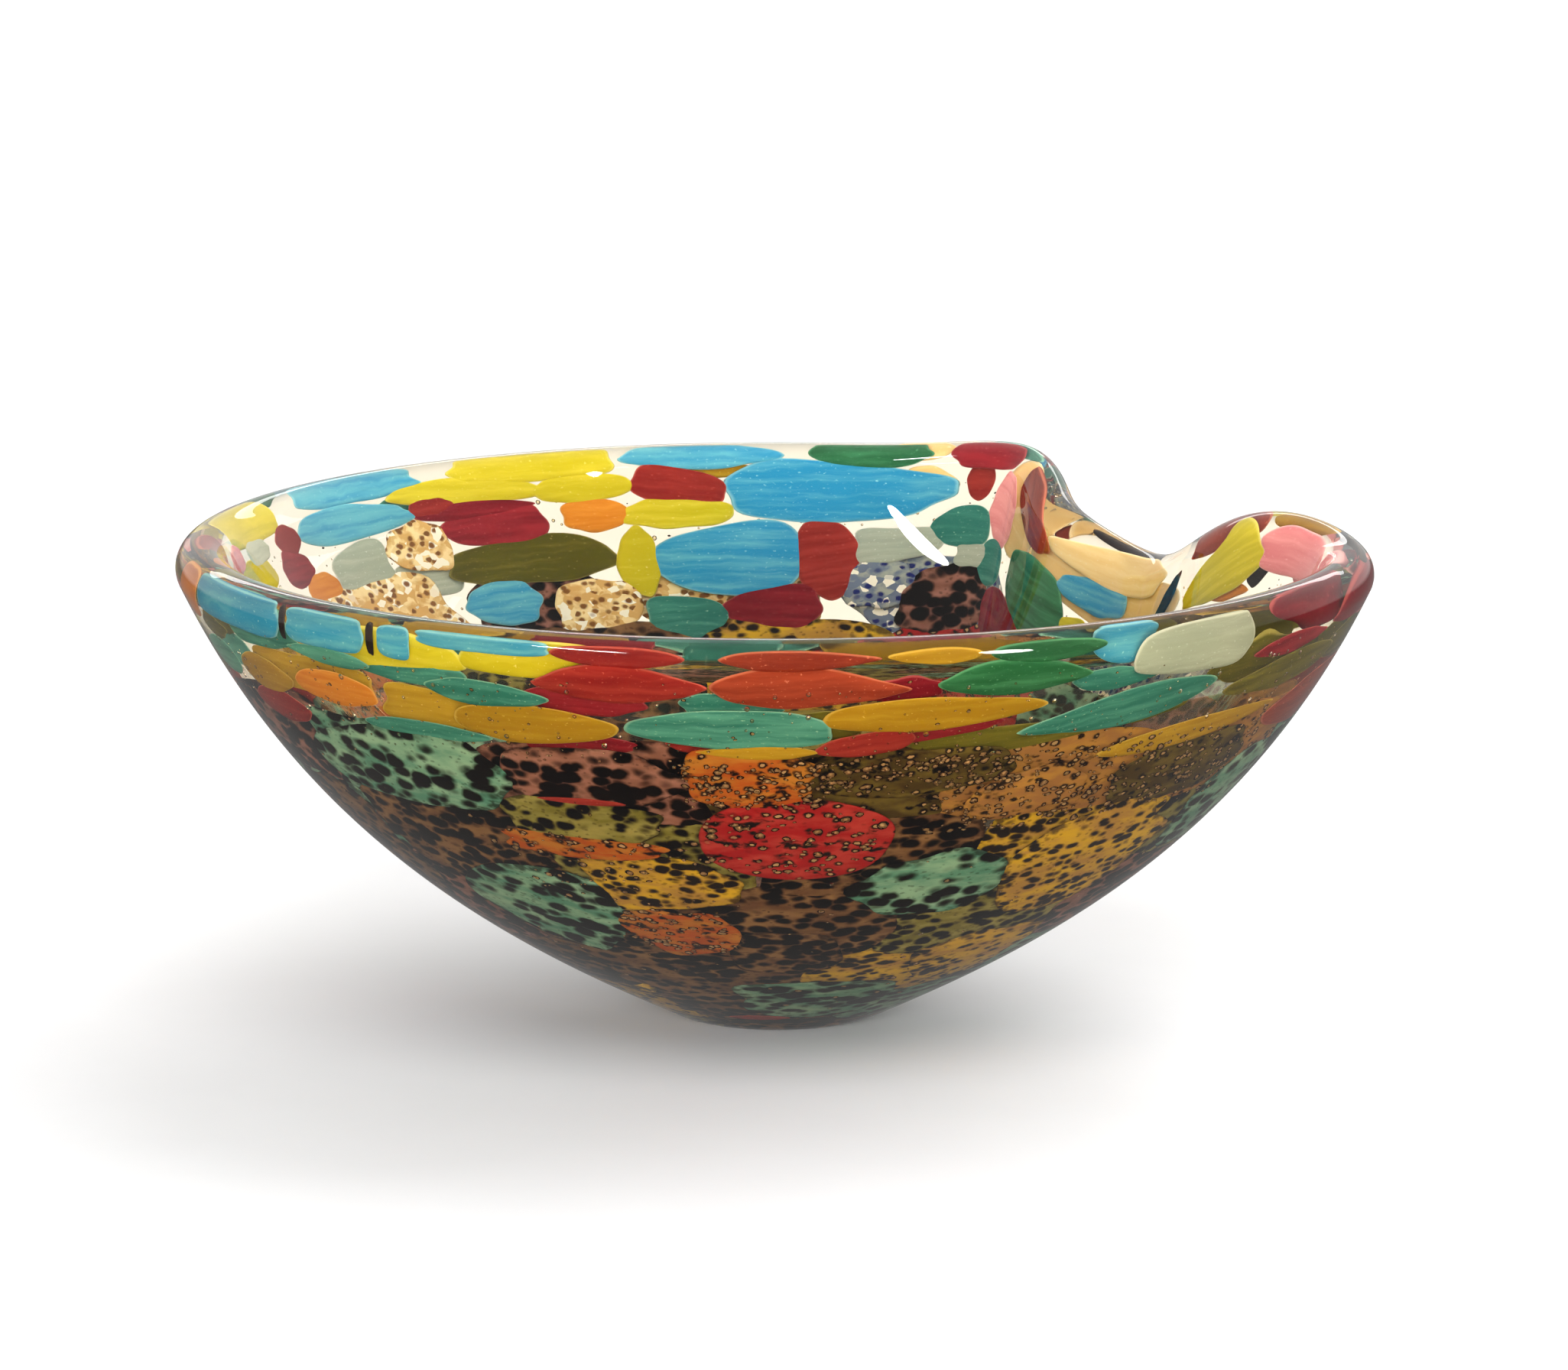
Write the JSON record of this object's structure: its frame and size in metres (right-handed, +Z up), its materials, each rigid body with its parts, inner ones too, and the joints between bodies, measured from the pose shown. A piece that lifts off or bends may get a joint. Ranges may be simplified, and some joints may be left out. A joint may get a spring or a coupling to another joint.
{
  "type": "art glass bowl",
  "caption": "Hand-blown cased glass bowl with a small flat foot, a thick round lip, one side folded inwards and coloured glass tesserae sealed in the wall.",
  "frame": {"origin": "centre of the flat foot, on the surface the bowl stands on", "axes": "+Z up, +X to the right and -Y towards the viewer of the front; the folded side lies between +X and +Y"},
  "size_m": [0.1589, 0.1602, 0.0667],
  "materials": {
    "outer_casing": "clear, glossy",
    "inner_lining": "clear, glossy",
    "turquoise_tesserae": "opaque glass, glossy",
    "sky_blue_tesserae": "opaque glass, glossy",
    "red_tesserae": "opaque glass, glossy",
    "coral_tesserae": "opaque glass, glossy",
    "orange_tesserae": "opaque glass, glossy",
    "mustard_tesserae": "opaque glass, glossy",
    "lime_tesserae": "opaque glass, glossy",
    "olive_tesserae": "opaque glass, glossy",
    "green_tesserae": "opaque glass, glossy",
    "burgundy_tesserae": "opaque glass, glossy",
    "pink_tesserae": "opaque glass, glossy",
    "cream_tesserae": "opaque glass, glossy",
    "white_tesserae": "opaque glass, glossy",
    "dark_canes": "opaque glass, glossy",
    "teal_leopard_patches": "opaque glass, glossy",
    "mauve_leopard_patches": "opaque glass, glossy",
    "olive_leopard_patches": "opaque glass, glossy",
    "mustard_leopard_patches": "opaque glass, glossy",
    "brown_leopard_patches": "opaque glass, glossy",
    "red_aventurine_patches": "metallic flakes in glass",
    "orange_aventurine_patches": "metallic flakes in glass",
    "olive_aventurine_patches": "metallic flakes in glass",
    "gold_aventurine_patches": "metallic flakes in glass",
    "mottled_cream_patches": "opaque glass, glossy",
    "mottled_blue_patches": "opaque glass, glossy",
    "aventurine_flakes": "metallic flakes in glass"
  },
  "bodies": {
    "root": {"outer_casing": "outer_casing", "inner_lining": "inner_lining", "turquoise_tesserae": "turquoise_tesserae", "sky_blue_tesserae": "sky_blue_tesserae", "red_tesserae": "red_tesserae", "coral_tesserae": "coral_tesserae", "orange_tesserae": "orange_tesserae", "mustard_tesserae": "mustard_tesserae", "lime_tesserae": "lime_tesserae", "olive_tesserae": "olive_tesserae", "green_tesserae": "green_tesserae", "burgundy_tesserae": "burgundy_tesserae", "pink_tesserae": "pink_tesserae", "cream_tesserae": "cream_tesserae", "white_tesserae": "white_tesserae", "dark_canes": "dark_canes", "teal_leopard_patches": "teal_leopard_patches", "mauve_leopard_patches": "mauve_leopard_patches", "olive_leopard_patches": "olive_leopard_patches", "mustard_leopard_patches": "mustard_leopard_patches", "brown_leopard_patches": "brown_leopard_patches", "red_aventurine_patches": "red_aventurine_patches", "orange_aventurine_patches": "orange_aventurine_patches", "olive_aventurine_patches": "olive_aventurine_patches", "gold_aventurine_patches": "gold_aventurine_patches", "mottled_cream_patches": "mottled_cream_patches", "mottled_blue_patches": "mottled_blue_patches", "aventurine_flakes": "aventurine_flakes"}
  },
  "joints": []
}
